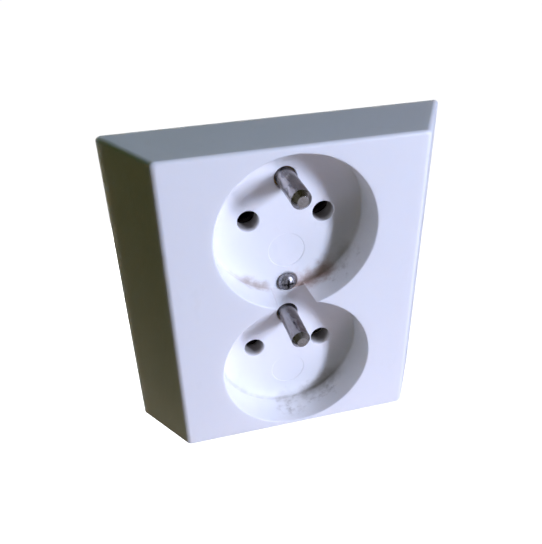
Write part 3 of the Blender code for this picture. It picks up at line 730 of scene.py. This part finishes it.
def terminal_screw(name, material):
    """Cheese-head screw with a slot, driven from behind, its thread through the clamp and strap."""
    node = f"{name}_terminal_screw"
    low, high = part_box(node)
    place = centre(node)
    head_y = high.y - TERMINAL_HEAD_HEIGHT
    edge = TERMINAL_HEAD_EDGE
    profile = [(0, -TERMINAL_HEAD_HEIGHT)]
    profile += arc(TERMINAL_HEAD_RADIUS - edge, edge - TERMINAL_HEAD_HEIGHT, edge, -90, 0, 5)
    profile += [(TERMINAL_HEAD_RADIUS, 0), (TERMINAL_SHANK_RADIUS, 0)]
    shank = thread_rows(TERMINAL_SHANK_RADIUS, MM / 5, head_y - low.y - MM / 2)
    profile += shank + [(TERMINAL_SHANK_RADIUS / 2, head_y - low.y), (0, head_y - low.y)]
    thread = (MM / 2, shank[-1][1])
    screw = turned(f"{node}_finished", profile, place.x, head_y, place.z, SCREW_SIDES, thread)
    reach, half = TERMINAL_HEAD_RADIUS + OVERRUN, TERMINAL_SLOT_WIDTH / 2
    slot_low = (place.x - reach, high.y - TERMINAL_SLOT_DEPTH, place.z - half)
    slot_high = (place.x + reach, high.y + OVERRUN, place.z + half)
    cut(screw, [block("slot", slot_low, slot_high)])
    stands_for(screw, node, node, material)


def works():
    """Everything but the cover."""
    brass, zinc, steel, bronze = [metal(name, *looks) for name, looks in METALS.items()]
    soften("socket_base", "base", EDGES["socket_base"], ceramic())
    soften("mounting_frame", "base", EDGES["mounting_frame"], zinc)
    soften("screw_bush", "base", EDGES["screw_bush"], brass)
    soften("screw_retainer", "cover", EDGES["screw_retainer"], fibre())
    for node in ("earth_bar", "line_bar", "neutral_bar"):
        soften(node, "base", EDGES["bar"], brass)
    for name in ("line", "neutral", "earth"):
        soften(f"{name}_clamp", f"{name}_clamp", EDGES["clamp"], brass)
        terminal_screw(name, steel)
    cover_screw(steel)
    for i in range(1, 5):
        soften(f"frame_rivet_{i}", "base", EDGES["rivet"], zinc)
    for where, z in RECESSES.items():
        earth_pin(where, worn_nickel_painted_sheen(where, z + PIN_RISE))
        for pole in ("line", "neutral"):
            # Contact sleeves in nearly black bronze: painted shade down the holes
            soften(f"contact_sleeve_{where}_{pole}", "base", EDGES["sleeve"], bronze)


# ---------------------------------------------------------------- stage

CAMERA_AT = Vector((-38.48, -145.0, 90.45)) * MM
CAMERA_TURN = 14.36  # degrees to the right of straight ahead
CAMERA_TILT = -34.92
CAMERA_ROLL = -1.41
LENS = 42.72  # mm
SENSOR = 36.0
CLIP_START = 0.005
LENS_SHIFT = (-0.0079, 0.0769)
FLOOR_DROP = 0.3
FLOOR_REACH = 20.0
FLOOR_TONE = (0.9, 0.9, 0.9, 1.0)
WHITE = (1.0, 1.0, 1.0, 1.0)

# Each light: the direction it comes from, its distance and size in metres, its power in watts
# and its colour
LIGHTS = {
    "window": ((0.625, -0.718, 0.295), 0.8, (0.11, 0.26), 7.6, (0.677, 0.742, 1.0)),
    "room_bounce": ((-0.8, -0.8, 0.1), 0.8, (0.6, 0.6), 0.16, (1.0, 0.86, 0.05)),
    "sill_bounce": ((0.22, -0.62, -0.75), 0.2, (0.1, 0.1), 0.1, (0.85, 0.78, 1.0)),
    "ceiling": ((-0.45, 0.2, 1.0), 0.2, (0.15, 0.15), 0.009, (0.1, 1.0, 0.3)),
    "behind": ((-0.25, 1.0, -0.2), 0.8, (0.3, 0.3), 4.5, (1.0, 0.97, 0.92)),
    "skirting": ((-0.9, -0.3, -0.9), 0.13, (0.06, 0.06), 0.006, (1.0, 0.95, 0.75)),
}
IN_REFLECTIONS = ("window", "behind")
BRIGHT_SIDE = (0.62, -0.62, -0.48)  # where the room looks brightest in reflections
ROOM_DARK = (0.10, 0.095, 0.035, 1.0)
ROOM_BRIGHT = (0.9, 0.9, 1.0, 1.0)
ROOM_IN_REFLECTIONS = 0.6
ROOM_GLOW = 0.004


def camera():
    data = bpy.data.cameras.new("camera")
    data.lens = LENS
    data.sensor_width = SENSOR
    data.shift_x, data.shift_y = LENS_SHIFT
    data.clip_start = CLIP_START
    obj = bpy.data.objects.new("camera", data)
    turn = Matrix.Rotation(math.radians(-CAMERA_TURN), 4, "Z")
    tilt = Matrix.Rotation(math.radians(90 + CAMERA_TILT), 4, "X")
    roll = Matrix.Rotation(math.radians(CAMERA_ROLL), 4, "Z")
    obj.matrix_world = Matrix.Translation(CAMERA_AT) @ turn @ tilt @ roll
    bpy.context.scene.collection.objects.link(obj)
    bpy.context.scene.camera = obj


def area_light(name, direction, away, size, power, tint):
    """A soft rectangular light that faces the origin."""
    direction = Vector(direction).normalized()
    data = bpy.data.lights.new(name, "AREA")
    data.shape = "RECTANGLE"
    data.size, data.size_y = size
    data.energy = power
    data.color = tint
    obj = bpy.data.objects.new(name, data)
    obj.location = direction * away
    obj.rotation_mode = "QUATERNION"
    obj.rotation_quaternion = (-direction).to_track_quat("-Z", "Y")
    obj.visible_glossy = name in IN_REFLECTIONS
    bpy.context.scene.collection.objects.link(obj)


def surroundings():
    """A dim room for reflections, olive to bluish white, and plain white where the camera looks."""
    world = bpy.data.worlds.new("room")
    bpy.context.scene.world = world
    world.use_nodes = True
    tree = world.node_tree
    tree.nodes.clear()
    link = tree.links.new
    rays = tree.nodes.new("ShaderNodeLightPath")
    coords = tree.nodes.new("ShaderNodeTexCoord")
    facing = tree.nodes.new("ShaderNodeVectorMath")
    facing.operation = "DOT_PRODUCT"
    link(coords.outputs["Generated"], facing.inputs[0])
    facing.inputs[1].default_value = BRIGHT_SIDE
    ramp = tree.nodes.new("ShaderNodeValToRGB")
    ramp.color_ramp.elements[0].color = ROOM_DARK
    ramp.color_ramp.elements[1].color = ROOM_BRIGHT
    link(facing.outputs["Value"], ramp.inputs[0])
    room = tree.nodes.new("ShaderNodeBackground")
    link(ramp.outputs[0], room.inputs["Color"])
    dim = tree.nodes.new("ShaderNodeMath")
    dim.operation = "MULTIPLY_ADD"
    link(rays.outputs["Is Glossy Ray"], dim.inputs[0])
    dim.inputs[1].default_value = ROOM_IN_REFLECTIONS
    dim.inputs[2].default_value = ROOM_GLOW
    link(dim.outputs[0], room.inputs["Strength"])
    backdrop = tree.nodes.new("ShaderNodeBackground")
    backdrop.inputs["Color"].default_value = WHITE
    mix = tree.nodes.new("ShaderNodeMixShader")
    link(rays.outputs["Is Camera Ray"], mix.inputs[0])
    link(room.outputs[0], mix.inputs[1])
    link(backdrop.outputs[0], mix.inputs[2])
    out = tree.nodes.new("ShaderNodeOutputWorld")
    link(mix.outputs[0], out.inputs["Surface"])


def floor():
    """A plain pale floor that neither lights nor shows in the object."""
    bm = bmesh.new()
    bmesh.ops.create_grid(bm, x_segments=1, y_segments=1, size=FLOOR_REACH)
    obj = object_from(bm, "floor")
    obj.location.z = CAD_BOX[0].z - FLOOR_DROP
    material = bpy.data.materials.new("pale_floor")
    material.use_nodes = True
    shader = material.node_tree.nodes["Principled BSDF"]
    shader.inputs["Base Color"].default_value = FLOOR_TONE
    shader.inputs["Emission Color"].default_value = WHITE
    shader.inputs["Emission Strength"].default_value = 1.0
    coat(obj, material)
    obj.visible_diffuse = False
    obj.visible_glossy = False


def stage():
    camera()
    surroundings()
    floor()
    for name, light in LIGHTS.items():
        area_light(name, *light)
    bpy.context.scene.view_settings.view_transform = "Standard"


cover()
works()
stage()
